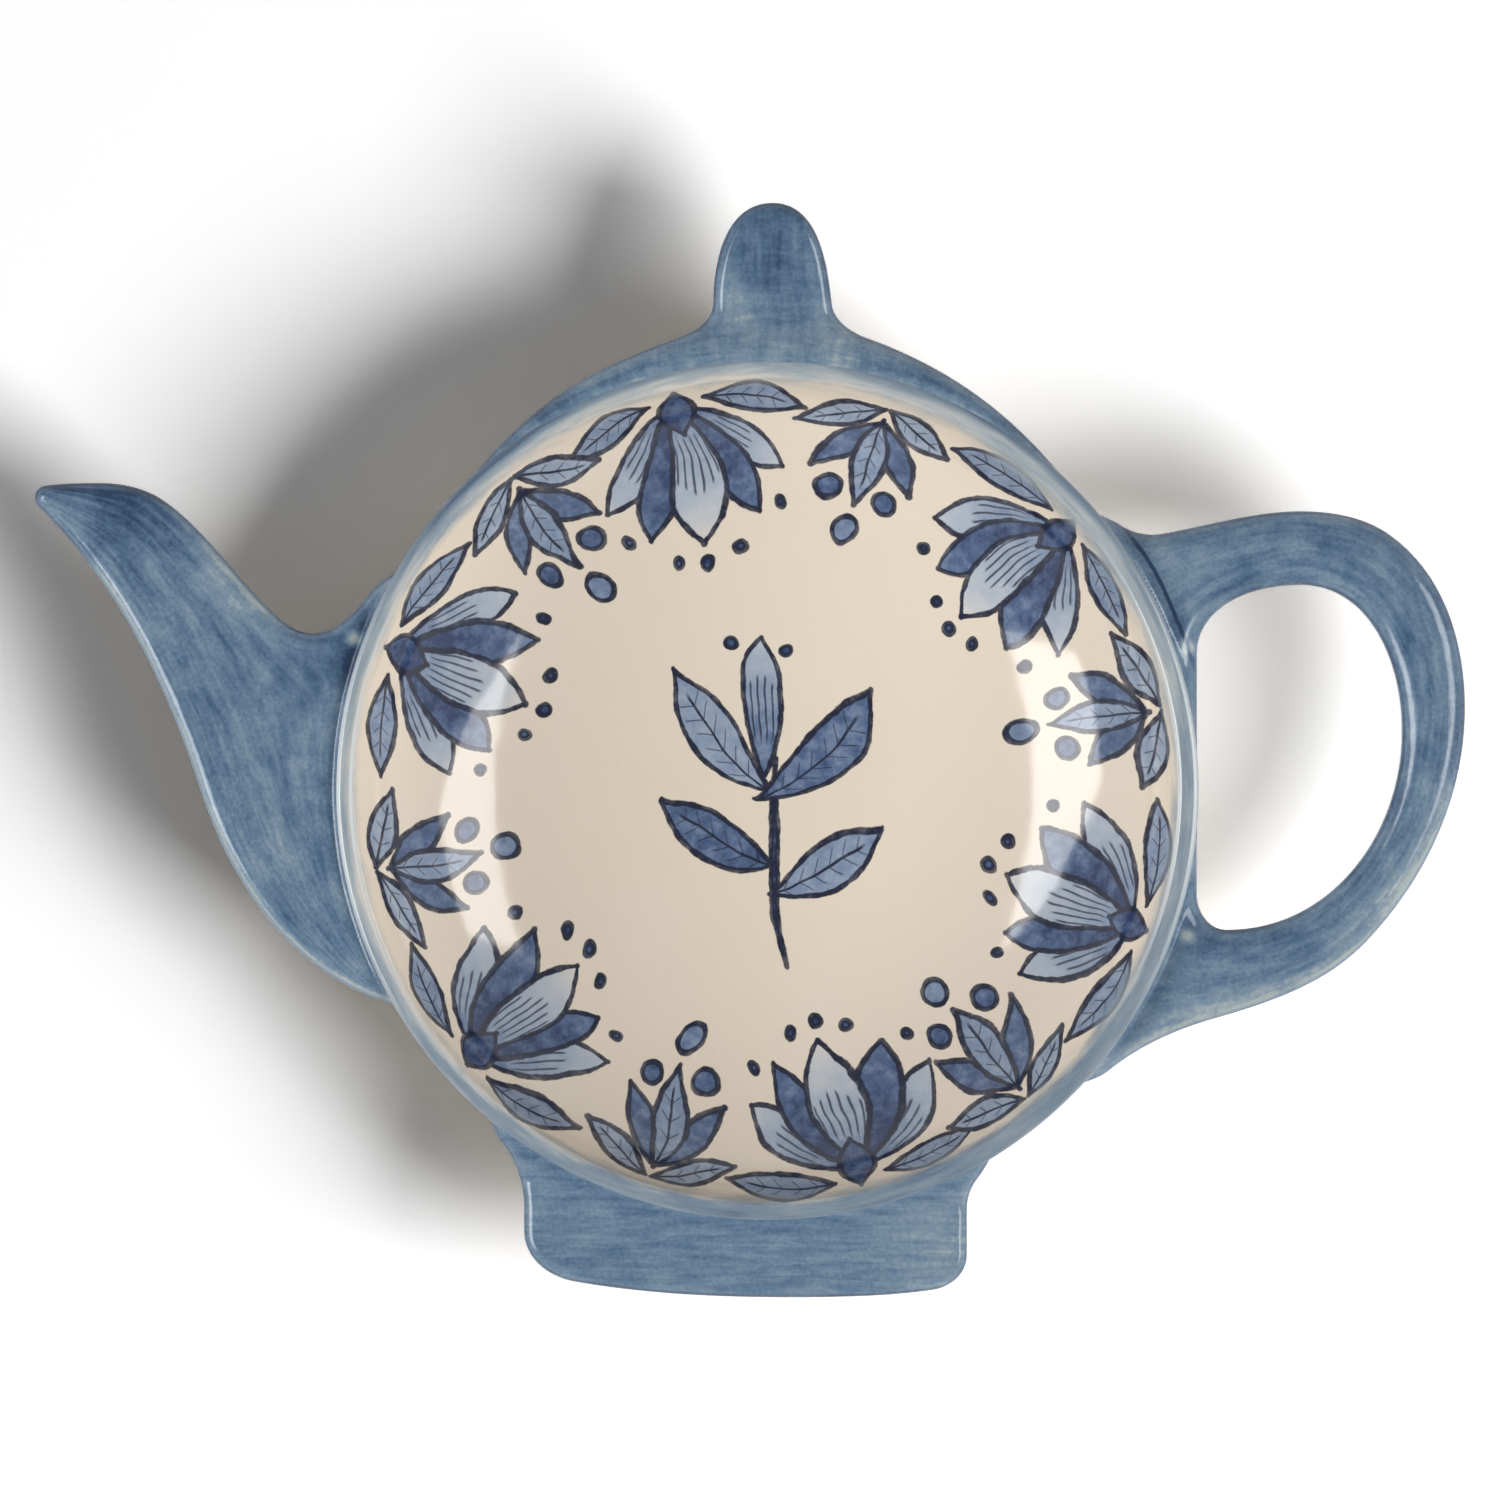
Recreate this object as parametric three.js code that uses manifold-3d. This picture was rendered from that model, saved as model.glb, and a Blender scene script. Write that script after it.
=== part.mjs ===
// Tea dish: a round shallow bowl on a turned ring, with four flat tabs round its lip
// that together draw the side view of a pot: spout, handle, lid knob and base.
// Millimetres, +Z up. Seen from above the spout is at -X and the knob at +Y.
import * as THREE from 'three';
import { mergeVertices } from 'three/addons/utils/BufferGeometryUtils.js';
import Module from 'manifold-3d';

// Bowl
const LIP_RADIUS = 38.2;
const LIP_HEIGHT = 18;
const LIP_WIDTH = 1.8;
const LIP_ROUND = 0.5;
const RIM_BAND = 2.5;
const WELL_FLOOR_HEIGHT = 5.1;
const WELL_RUNOUT = 1;
const FLOOR_THICKNESS = 3.5;
const BOWL_FULLNESS = 2.2;

// Ring under the bowl
const RING_RADIUS = 21.3;
const RING_WIDTH = 3.4;
const RING_ROUND = 0.6;

// All four tabs
const TAB_DROP = 1.1;
const TAB_THICKNESS = 5;
const TAB_ROUND = 0.8;
const ROOT_STANDOFF = 1;
const ROOT_DEPTH = 6;
const JOINT_GAP = 0.3;

// Spout: OUT is measured from the lip's left side, RISE from the bowl's centre
const SPOUT_REACH = 26.8;
const SPOUT_TIP_RISE = 25.95;
const SPOUT_TIP_ROUND = 1.1;
const SPOUT_CROWN_OUT = 21.1;
const SPOUT_CROWN_RISE = 27.25;
const SPOUT_MOUTH_OUT = 15.4;
const SPOUT_MOUTH_RISE = 25.7;
const SPOUT_THROAT_OUT = 6.4;
const SPOUT_THROAT_RISE = 16.4;
const SPOUT_COVE_OUT = 2.4;
const SPOUT_COVE_RISE = 13.9;
const SPOUT_WAIST_OUT = 12.1;
const SPOUT_UPPER_ANGLE = 153;
const SPOUT_LOWER_ANGLE = 208.3;

// Handle: OUT is measured from the lip's right side, RISE and DROP from the bowl's centre
const HANDLE_REACH = 23.7;
const HANDLE_GRIP_RISE = 7.3;
const HANDLE_STRAP = 5.6;
const HANDLE_HOLE_RISE = 5.2;
const HANDLE_TOP_OUT = 9.1;
const HANDLE_TOP_RISE = 24.75;
const HANDLE_TOP_STRAP = 6.55;
const HANDLE_KNUCKLE_OUT = 17.1;
const HANDLE_KNUCKLE_RISE = 22.6;
const HANDLE_NAPE_OUT = -3.2;
const HANDLE_NAPE_RISE = 22.75;
const HANDLE_ELBOW_OUT = 14.8;
const HANDLE_ELBOW_DROP = 13.6;
const HANDLE_TAIL_OUT = 1.4;
const HANDLE_TAIL_DROP = 20.3;
const HANDLE_SILL_OUT = 2.6;
const HANDLE_SILL_DROP = 12.4;
const HANDLE_CORNER_RISE = 12;
const HANDLE_UPPER_ANGLE = 36.8;
const HANDLE_LOWER_ANGLE = -39.5;
const HANDLE_HOLE_UPPER_ANGLE = 13.6;
const HANDLE_HOLE_LOWER_ANGLE = -13.6;

// Lid knob: OUT is measured from the lip's back
const KNOB_REACH = 13.9;
const KNOB_OFFSET = 0.45;
const KNOB_WIDTH = 10.5;
const KNOB_NECK_OUT = 5;
const KNOB_COVE = 3.25;
const SHOULDER_OUT = 1.85;
const SHOULDER_SPREAD = 32.4;

// Base plinth: OUT is measured from the lip's front
const PLINTH_REACH = 6.8;
const PLINTH_LOW_OFFSET = 2;
const PLINTH_RIGHT = 17.7;
const PLINTH_RIGHT_CORNER = 3.1;
const PLINTH_RIGHT_LIFT = 0.65;
const PLINTH_LEFT = 21.6;
const PLINTH_LEFT_CORNER = 4.5;
const PLINTH_LEFT_LIFT = 1.4;
const PLINTH_ROOT_OUT = -1;
const PLINTH_RIGHT_ANGLE = -61.7;
const PLINTH_LEFT_ANGLE = -126.8;

// Fineness of the curves
const TURN_STEPS = 72;
const BOWL_STEPS = 14;
const ROUND_STEPS = 3;
const EDGE_STEPS = 7;

const wasm = await Module();
wasm.setup();
const { Manifold, Mesh: SolidMesh } = wasm;

const GLAZE_CREAM = { color: '#ded1bd', roughness: 0.16, metalness: 0 };
const GLAZE_BLUE = { color: '#6485aa', roughness: 0.2, metalness: 0 };

const LIP_INNER = LIP_RADIUS - LIP_WIDTH;
const UNDER_HEIGHT = WELL_FLOOR_HEIGHT - FLOOR_THICKNESS;
const WALL_RISE = LIP_HEIGHT - RIM_BAND - UNDER_HEIGHT;

// Points of a bowl-shaped curve from its lowest point on the axis out to a share of its full sweep.
// A fullness of 2 gives an ellipse, and more than 2 a flatter floor with a steeper wall.
function bowlCurve(radius, rise, lowest, sweep) {
  const power = 2 / BOWL_FULLNESS;
  const points = [];
  for (let i = 0; i <= BOWL_STEPS; i += 1) {
    const angle = (sweep * i) / BOWL_STEPS;
    const r = radius * Math.sin(angle) ** power;
    const z = lowest + rise * (1 - Math.max(Math.cos(angle), 0) ** power);
    points.push(new THREE.Vector2(r, z));
  }
  return points;
}

// Height of the bowl's underside at a distance from the axis.
function underside(r) {
  const share = (r / LIP_RADIUS) ** BOWL_FULLNESS;
  return UNDER_HEIGHT + WALL_RISE * (1 - (1 - share) ** (1 / BOWL_FULLNESS));
}

// Quarter-round corner about a centre, between two angles in degrees.
function corner(x, z, radius, from, to) {
  const points = [];
  for (let i = 0; i <= ROUND_STEPS; i += 1) {
    const angle = THREE.MathUtils.degToRad(from + ((to - from) * i) / ROUND_STEPS);
    points.push(new THREE.Vector2(x + radius * Math.cos(angle), z + radius * Math.sin(angle)));
  }
  return points;
}

// Turns a profile of (radius, height) points about the vertical axis.
function turned(profile) {
  return new THREE.LatheGeometry(profile, TURN_STEPS).rotateX(Math.PI / 2);
}

function asSolid(geometry) {
  const bare = new THREE.BufferGeometry();
  bare.setAttribute('position', geometry.getAttribute('position').clone());
  bare.setIndex(geometry.index ? geometry.index.clone() : null);
  const welded = mergeVertices(bare, 1e-4);
  const kept = [];
  const index = welded.index.array;
  for (let i = 0; i < index.length; i += 3) {
    const [a, b, c] = [index[i], index[i + 1], index[i + 2]];
    if (a !== b && b !== c && c !== a) kept.push(a, b, c);
  }
  return new Manifold(new SolidMesh({
    numProp: 3,
    vertProperties: new Float32Array(welded.getAttribute('position').array),
    triVerts: new Uint32Array(kept),
  }));
}

function asGeometry(solid) {
  const mesh = solid.getMesh();
  const geometry = new THREE.BufferGeometry();
  geometry.setAttribute('position', new THREE.BufferAttribute(new Float32Array(mesh.vertProperties), 3));
  geometry.setIndex(new THREE.BufferAttribute(new Uint32Array(mesh.triVerts), 1));
  geometry.computeVertexNormals();
  return geometry;
}

// A knot is a point of an outline and the heading of the edge through it, in degrees.
function knot(x, y, heading) {
  return { point: new THREE.Vector2(x, y), heading: THREE.MathUtils.degToRad(heading) };
}

function onLip(angle, out) {
  const turn = THREE.MathUtils.degToRad(angle);
  return new THREE.Vector2(Math.cos(turn), Math.sin(turn)).multiplyScalar(LIP_RADIUS + out);
}

// Where a tab's edge ends, just off the lip.
function rootKnot(angle, heading) {
  const end = onLip(angle, ROOT_STANDOFF);
  return knot(end.x, end.y, heading);
}

// Draws smooth curves from knot to knot, each close to a round arc of the same turn.
// Two knots with one heading are joined by a straight line.
function drawEdge(shape, knots) {
  for (let i = 1; i < knots.length; i += 1) {
    const from = knots[i - 1];
    const to = knots[i];
    const turn = Math.atan2(Math.sin(to.heading - from.heading), Math.cos(to.heading - from.heading));
    if (turn === 0) {
      shape.lineTo(to.point.x, to.point.y);
      continue;
    }
    const pull = from.point.distanceTo(to.point) / (3 * Math.cos(turn / 4) ** 2);
    shape.bezierCurveTo(
      from.point.x + pull * Math.cos(from.heading),
      from.point.y + pull * Math.sin(from.heading),
      to.point.x - pull * Math.cos(to.heading),
      to.point.y - pull * Math.sin(to.heading),
      to.point.x,
      to.point.y,
    );
  }
}

// Runs a tab's outline straight in under the lip at each of the angles, so the bowl can cut its root.
function drawRoot(shape, angles) {
  for (const angle of angles) {
    const inside = onLip(angle, -ROOT_DEPTH);
    shape.lineTo(inside.x, inside.y);
  }
}

// A flat plate with rounded edges from an outline, level with the other tabs.
function plate(shape) {
  const geometry = new THREE.ExtrudeGeometry(shape, {
    depth: TAB_THICKNESS - 2 * TAB_ROUND,
    curveSegments: EDGE_STEPS,
    bevelThickness: TAB_ROUND,
    bevelSize: TAB_ROUND,
    bevelOffset: -TAB_ROUND,
    bevelSegments: ROUND_STEPS,
  });
  return geometry.translate(0, 0, LIP_HEIGHT - TAB_DROP - TAB_THICKNESS + TAB_ROUND);
}

function bowlGeometry() {
  const wall = bowlCurve(LIP_RADIUS, WALL_RISE, UNDER_HEIGHT, Math.PI / 2);
  const wellRadius = LIP_INNER + WELL_RUNOUT;
  const wellSweep = Math.asin((LIP_INNER / wellRadius) ** (BOWL_FULLNESS / 2));
  const wellShare = 1 - Math.cos(wellSweep) ** (2 / BOWL_FULLNESS);
  const wellRise = (LIP_HEIGHT - LIP_ROUND - WELL_FLOOR_HEIGHT) / wellShare;
  const well = bowlCurve(wellRadius, wellRise, WELL_FLOOR_HEIGHT, wellSweep);
  const lipOuter = corner(LIP_RADIUS - LIP_ROUND, LIP_HEIGHT - LIP_ROUND, LIP_ROUND, 0, 90);
  const lipInner = corner(LIP_INNER + LIP_ROUND, LIP_HEIGHT - LIP_ROUND, LIP_ROUND, 90, 180);
  return turned([...wall, ...lipOuter, ...lipInner.slice(0, -1), ...well.reverse()]);
}

// The filled outside of the bowl with the joint gap added, used to cut the roots of the tabs.
function seatGeometry() {
  const wall = bowlCurve(
    LIP_RADIUS + JOINT_GAP,
    WALL_RISE + JOINT_GAP,
    UNDER_HEIGHT - JOINT_GAP,
    Math.PI / 2,
  );
  const top = LIP_HEIGHT + TAB_THICKNESS;
  return turned([
    ...wall,
    new THREE.Vector2(LIP_RADIUS + JOINT_GAP, top),
    new THREE.Vector2(0, top),
  ]);
}

function ringGeometry() {
  const inner = RING_RADIUS - RING_WIDTH / 2;
  const outer = RING_RADIUS + RING_WIDTH / 2;
  const top = [outer, RING_RADIUS, inner].map(
    (r) => new THREE.Vector2(r, underside(r) - JOINT_GAP),
  );
  const outerFoot = corner(outer - RING_ROUND, RING_ROUND, RING_ROUND, -90, 0);
  const innerFoot = corner(inner + RING_ROUND, RING_ROUND, RING_ROUND, 180, 270);
  return turned([...outerFoot, ...top, ...innerFoot, outerFoot[0].clone()]);
}

function spoutGeometry() {
  const left = (out) => -LIP_RADIUS - out;
  const tipX = left(SPOUT_REACH - SPOUT_TIP_ROUND);
  const tip = (angle) => knot(
    tipX + SPOUT_TIP_ROUND * Math.cos(THREE.MathUtils.degToRad(angle)),
    SPOUT_TIP_RISE + SPOUT_TIP_ROUND * Math.sin(THREE.MathUtils.degToRad(angle)),
    angle - 90,
  );
  const knots = [
    rootKnot(SPOUT_LOWER_ANGLE, 160),
    knot(left(SPOUT_WAIST_OUT), 0, 108),
    tip(226),
    tip(180),
    tip(97),
    knot(left(SPOUT_CROWN_OUT), SPOUT_CROWN_RISE, 0),
    knot(left(SPOUT_MOUTH_OUT), SPOUT_MOUTH_RISE, -35),
    knot(left(SPOUT_THROAT_OUT), SPOUT_THROAT_RISE, -45),
    knot(left(SPOUT_COVE_OUT), SPOUT_COVE_RISE, -5),
    rootKnot(SPOUT_UPPER_ANGLE, 50),
  ];
  const shape = new THREE.Shape();
  shape.moveTo(knots[0].point.x, knots[0].point.y);
  drawEdge(shape, knots);
  drawRoot(shape, [SPOUT_UPPER_ANGLE, SPOUT_LOWER_ANGLE]);
  shape.closePath();
  return plate(shape);
}

function handleGeometry() {
  const right = (out) => LIP_RADIUS + out;
  const outside = [
    rootKnot(HANDLE_UPPER_ANGLE, -33),
    knot(right(HANDLE_NAPE_OUT), HANDLE_NAPE_RISE, 10),
    knot(right(HANDLE_TOP_OUT), HANDLE_TOP_RISE, 0),
    knot(right(HANDLE_KNUCKLE_OUT), HANDLE_KNUCKLE_RISE, -36),
    knot(right(HANDLE_REACH), HANDLE_GRIP_RISE, -90),
    knot(right(HANDLE_ELBOW_OUT), -HANDLE_ELBOW_DROP, -134),
    knot(right(HANDLE_TAIL_OUT), -HANDLE_TAIL_DROP, -164),
    rootKnot(HANDLE_LOWER_ANGLE, -141),
  ];
  const holeLeft = onLip(HANDLE_HOLE_UPPER_ANGLE, ROOT_STANDOFF).x;
  const hole = [
    rootKnot(HANDLE_HOLE_LOWER_ANGLE, -90),
    knot(right(HANDLE_SILL_OUT), -HANDLE_SILL_DROP, 0),
    knot(right(HANDLE_REACH - HANDLE_STRAP), HANDLE_HOLE_RISE, 90),
    knot(right(HANDLE_TOP_OUT), HANDLE_TOP_RISE - HANDLE_TOP_STRAP, 180),
    knot(holeLeft, HANDLE_CORNER_RISE, -90),
    rootKnot(HANDLE_HOLE_UPPER_ANGLE, -90),
  ];
  const shape = new THREE.Shape();
  shape.moveTo(outside[0].point.x, outside[0].point.y);
  drawEdge(shape, outside);
  drawRoot(shape, [HANDLE_LOWER_ANGLE, HANDLE_HOLE_LOWER_ANGLE]);
  shape.lineTo(hole[0].point.x, hole[0].point.y);
  drawEdge(shape, hole);
  drawRoot(shape, [HANDLE_HOLE_UPPER_ANGLE, HANDLE_UPPER_ANGLE]);
  shape.closePath();
  return plate(shape);
}

function knobGeometry() {
  const back = (out) => LIP_RADIUS + out;
  const neck = KNOB_WIDTH / 2;
  const foot = neck + KNOB_COVE;
  const knots = [
    rootKnot(90 + SHOULDER_SPREAD, 41),
    knot(KNOB_OFFSET - foot, back(SHOULDER_OUT), 20),
    knot(KNOB_OFFSET - neck, back(KNOB_NECK_OUT), 90),
    knot(KNOB_OFFSET, back(KNOB_REACH), 0),
    knot(KNOB_OFFSET + neck, back(KNOB_NECK_OUT), -84),
    knot(KNOB_OFFSET + foot, back(SHOULDER_OUT), -20),
    rootKnot(90 - SHOULDER_SPREAD, -41),
  ];
  const shape = new THREE.Shape();
  shape.moveTo(knots[0].point.x, knots[0].point.y);
  drawEdge(shape, knots);
  drawRoot(shape, [90 - SHOULDER_SPREAD, 90 + SHOULDER_SPREAD]);
  shape.closePath();
  return plate(shape);
}

function plinthGeometry() {
  const front = (out) => -LIP_RADIUS - out;
  const rightBase = front(PLINTH_REACH - PLINTH_RIGHT_LIFT);
  const leftBase = front(PLINTH_REACH - PLINTH_LEFT_LIFT);
  const knots = [
    rootKnot(PLINTH_RIGHT_ANGLE, -127),
    knot(PLINTH_RIGHT, front(PLINTH_ROOT_OUT), -90),
    knot(PLINTH_RIGHT, rightBase + PLINTH_RIGHT_CORNER, -90),
    knot(PLINTH_RIGHT - PLINTH_RIGHT_CORNER, rightBase, -172),
    knot(PLINTH_LOW_OFFSET, front(PLINTH_REACH), 180),
    knot(-PLINTH_LEFT + PLINTH_LEFT_CORNER, leftBase, 170),
    knot(-PLINTH_LEFT, leftBase + PLINTH_LEFT_CORNER, 90),
    knot(-PLINTH_LEFT, front(PLINTH_ROOT_OUT), 90),
    rootKnot(PLINTH_LEFT_ANGLE, 129),
  ];
  const shape = new THREE.Shape();
  shape.moveTo(knots[0].point.x, knots[0].point.y);
  drawEdge(shape, knots);
  drawRoot(shape, [PLINTH_LEFT_ANGLE, PLINTH_RIGHT_ANGLE]);
  shape.closePath();
  return plate(shape);
}

// The origin is under the middle of the whole outline, on the table.
const MIDDLE_X = (HANDLE_REACH - SPOUT_REACH) / 2;
const MIDDLE_Y = (KNOB_REACH - PLINTH_REACH) / 2;

const dish = new THREE.Group();
dish.name = 'tea_dish';

function addPiece(name, solid, glaze) {
  const geometry = asGeometry(solid).translate(-MIDDLE_X, -MIDDLE_Y, 0);
  const mesh = new THREE.Mesh(geometry, new THREE.MeshStandardMaterial(glaze));
  mesh.name = name;
  dish.add(mesh);
}

const seat = asSolid(seatGeometry());
const scribed = (geometry) => asSolid(geometry).subtract(seat);

addPiece('dish_bowl', asSolid(bowlGeometry()), GLAZE_CREAM);
addPiece('foot_ring', asSolid(ringGeometry()), GLAZE_CREAM);
addPiece('spout', scribed(spoutGeometry()), GLAZE_BLUE);
addPiece('handle', scribed(handleGeometry()), GLAZE_BLUE);
addPiece('lid_knob', scribed(knobGeometry()), GLAZE_BLUE);
addPiece('base_plinth', scribed(plinthGeometry()), GLAZE_BLUE);

export default dish;
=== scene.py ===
import math

import bpy
import numpy as np
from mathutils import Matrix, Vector
from mathutils.geometry import delaunay_2d_cdt


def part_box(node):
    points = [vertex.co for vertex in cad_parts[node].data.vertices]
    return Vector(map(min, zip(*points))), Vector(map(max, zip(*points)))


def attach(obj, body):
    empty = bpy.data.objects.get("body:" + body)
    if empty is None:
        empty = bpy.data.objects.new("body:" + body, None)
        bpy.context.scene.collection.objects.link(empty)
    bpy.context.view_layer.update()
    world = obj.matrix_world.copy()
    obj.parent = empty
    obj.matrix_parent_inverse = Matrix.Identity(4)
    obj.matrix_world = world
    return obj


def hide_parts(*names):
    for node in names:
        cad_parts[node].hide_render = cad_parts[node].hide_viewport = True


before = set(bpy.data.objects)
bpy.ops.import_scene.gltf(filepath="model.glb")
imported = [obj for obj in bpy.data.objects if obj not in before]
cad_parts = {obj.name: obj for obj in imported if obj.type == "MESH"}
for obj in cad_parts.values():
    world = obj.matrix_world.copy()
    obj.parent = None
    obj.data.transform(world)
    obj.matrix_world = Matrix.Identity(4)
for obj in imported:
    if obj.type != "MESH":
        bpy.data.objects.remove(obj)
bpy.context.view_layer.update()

MM = 0.001

# Sizes of the dish in millimetres about the bowl's axis, as the solids have them
LIP_RADIUS = 38.2
LIP_HEIGHT = 18.0
LIP_WIDTH = 1.8
LIP_ROUND = 0.5
RIM_BAND = 2.5
WELL_FLOOR_HEIGHT = 5.1
WELL_RUNOUT = 1.0
FLOOR_THICKNESS = 3.5
BOWL_FULLNESS = 2.2
RING_RADIUS = 21.3
RING_WIDTH = 3.4
RING_ROUND = 0.6
TAB_DROP = 1.1
TAB_THICKNESS = 5.0
ROOT_STANDOFF = 1.0

TAB_TOP = LIP_HEIGHT - TAB_DROP
TAB_UNDER = TAB_TOP - TAB_THICKNESS
UNDER_HEIGHT = WELL_FLOOR_HEIGHT - FLOOR_THICKNESS
WALL_RISE = LIP_HEIGHT - RIM_BAND - UNDER_HEIGHT

# Ends of the tabs: how far they stand out from the lip, and how their underside lifts on the way there
END_SINK = -0.9
TAIL_SINK = -0.5
END_LIFT = 2.6
END_RUN = 9.0

# Faces of the tabs: a slight fall towards the edges, and the radius in the bowl's wall where roots stop
CROWN_DROP = 0.16
CROWN_REACH = 2.4
ROOT_INSIDE = 37.0

# Foot ring: the flare that meets the bowl, and how deep its two sides run into the bowl
RING_FLARE = 0.7
FLARE_BULGE = 0.12
FLARE_BELOW = 0.3
FLARE_SINK_OUT = 0.35
FLARE_SINK_IN = 0.25

# Meshes of the turned pieces
WALL_STEPS = 44
BAND_STEPS = 4
WELL_STEPS = 70
LIP_ROUND_STEPS = 8
RING_ROUND_STEPS = 6
BOWL_SEGMENTS = 256
RING_SEGMENTS = 160

# Meshes of the tabs: steps, then rows down a rounded edge in shares of its reach, and rows beside the lip
CURVE_STEPS = 40
EDGE_STEP = 0.34
FACE_STEP = 0.85
ROOT_STEP = 0.8
ROOT_ROW_STEP = EDGE_STEP * 1.2
EDGE_ROWS = (0.03, 0.12, 0.27, 0.46, 0.68, 0.9, 1.25)
ROOT_ROWS = (-0.6, -0.25, 0.0, 0.12, 0.26, 0.42, 0.6, 0.85, 1.2)
SIDE_ROWS = 4

# How clear these points keep of one another
ROW_CLEARANCE = 0.3
GRID_CLEARANCE = 0.4
ROOT_CLEARANCE = 0.05
ROW_SLACK = 0.97
MERGE_DISTANCE = 1e-5
ON_EDGE = 1e-6

bowl_low, bowl_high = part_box("dish_bowl")
CENTRE = np.array([(bowl_low.x + bowl_high.x) / 2, (bowl_low.y + bowl_high.y) / 2]) / MM


# Geometry helpers

def new_piece(name, verts, faces, node):
    """A smooth mesh from points in millimetres about the bowl's axis, riding on the dish."""
    mesh = bpy.data.meshes.new(name)
    placed = np.asarray(verts, float) + np.array([CENTRE[0], CENTRE[1], 0.0])
    mesh.from_pydata((placed * MM).tolist(), [], [list(map(int, f)) for f in faces])
    mesh.polygons.foreach_set("use_smooth", [True] * len(mesh.polygons))
    mesh.update()
    piece = bpy.data.objects.new(name, mesh)
    bpy.context.scene.collection.objects.link(piece)
    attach(piece, "root")
    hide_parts(node)
    return piece


def set_attribute(piece, name, values):
    """Stores one number or one vector for each vertex, for the materials to read."""
    values = np.asarray(values, np.float32)
    kind = "FLOAT" if values.ndim == 1 else "FLOAT_VECTOR"
    layer = piece.data.attributes.new(name, kind, "POINT")
    layer.data.foreach_set("value" if values.ndim == 1 else "vector", values.ravel())


def bowl_curve(radius, rise, lowest, sweep, steps):
    """Points of a bowl-shaped curve from the axis outwards, as in the solids."""
    power = 2 / BOWL_FULLNESS
    angle = np.linspace(0, sweep, steps + 1)
    r = radius * np.sin(angle) ** power
    z = lowest + rise * (1 - np.clip(np.cos(angle), 0, 1) ** power)
    return np.stack([r, z], 1)


def arc(x, z, radius, start, end, steps):
    """Points of a round in a profile, between two angles in degrees."""
    angle = np.radians(np.linspace(start, end, steps + 1))
    return np.stack([x + radius * np.cos(angle), z + radius * np.sin(angle)], 1)


def turned(profile, segments, closed):
    """Vertices and faces of a profile turned about the axis. Points on the axis become poles."""
    verts, rows = [], []
    turn = np.linspace(0, 2 * np.pi, segments, endpoint=False)
    for r, z in profile:
        if r < 1e-6:
            rows.append([len(verts)])
            verts.append((0.0, 0.0, z))
        else:
            rows.append(list(range(len(verts), len(verts) + segments)))
            verts += list(zip(r * np.cos(turn), r * np.sin(turn), np.full(segments, z)))
    faces = []
    pairs = list(zip(rows[:-1], rows[1:])) + ([(rows[-1], rows[0])] if closed else [])
    for low, high in pairs:
        for i in range(segments):
            j = (i + 1) % segments
            if len(low) == 1:
                faces.append((low[0], high[j], high[i]))
            elif len(high) == 1:
                faces.append((low[i], low[j], high[0]))
            else:
                faces.append((low[i], low[j], high[j], high[i]))
    return verts, faces


def knot(x, y, heading):
    """A place that an edge passes through, and the heading it has there in degrees."""
    return np.array([x, y, math.radians(heading)])


def on_lip(angle, heading, out=ROOT_STANDOFF):
    """A knot just outside the lip, at an angle round the bowl."""
    turn = math.radians(angle)
    return knot((LIP_RADIUS + out) * math.cos(turn), (LIP_RADIUS + out) * math.sin(turn), heading)


def smooth_edge(knots):
    """Cubic curves from knot to knot, as in the solids, in even steps."""
    points = [knots[0][None, :2]]
    t = np.linspace(0, 1, CURVE_STEPS + 1)[1:, None]
    for a, b in zip(knots[:-1], knots[1:]):
        turn = math.atan2(math.sin(b[2] - a[2]), math.cos(b[2] - a[2]))
        pull = np.hypot(*(b[:2] - a[:2])) / (3 * math.cos(turn / 4) ** 2)
        c1 = a[:2] + pull * np.array([math.cos(a[2]), math.sin(a[2])])
        c2 = b[:2] - pull * np.array([math.cos(b[2]), math.sin(b[2])])
        points.append(
            (1 - t) ** 3 * a[:2] + 3 * (1 - t) ** 2 * t * c1 + 3 * (1 - t) * t**2 * c2 + t**3 * b[:2]
        )
    line = np.concatenate(points)
    along = np.concatenate([[0], np.cumsum(np.hypot(*np.diff(line, axis=0).T))])
    even = np.linspace(0, along[-1], max(4, int(along[-1] / EDGE_STEP)) + 1)
    return np.stack([np.interp(even, along, line[:, 0]), np.interp(even, along, line[:, 1])], 1)


def distance_to(points, line):
    """Distance of each point to a polyline."""
    a, b = line[:-1], line[1:]
    span = b - a
    rel = points[:, None] - a[None]
    t = np.clip((rel * span).sum(2) / (span * span).sum(1), 0, 1)
    return np.sqrt(((rel - t[..., None] * span) ** 2).sum(2)).min(1)


def root_arc(start, end):
    """Points inside the bowl's wall that close a tab's outline between two of its edge ends."""
    a, b = math.atan2(start[1], start[0]), math.atan2(end[1], end[0])
    b = a + math.atan2(math.sin(b - a), math.cos(b - a))
    angle = np.linspace(a, b, max(3, int(abs(b - a) * ROOT_INSIDE / ROOT_STEP)))
    return ROOT_INSIDE * np.stack([np.cos(angle), np.sin(angle)], 1)


def edge_drop(d, reach, drop):
    """How far a tab's face falls at a distance from its edge: a round, and the slight crown."""
    u = np.clip(1 - d / reach, 0, 1)
    return drop * (1 - np.sqrt(np.clip(1 - u * u, 0, 1))) + CROWN_DROP * np.exp(-d / CROWN_REACH)


def cove(e, reach, height):
    """Height of the small fillet in the corner at the bowl's wall."""
    u = np.clip(1 - e / reach, 0, 1)
    return height * (1 - np.sqrt(np.clip(1 - u * u, 0, 1)))


def ease(t):
    """A soft step from zero to one."""
    t = np.clip(t, 0, 1)
    return t * t * (3 - 2 * t)


def swell(e, reach, height):
    """Height of a long soft rise from a tab's face to the lip's top."""
    return height * ease(1 - e / reach)


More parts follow.
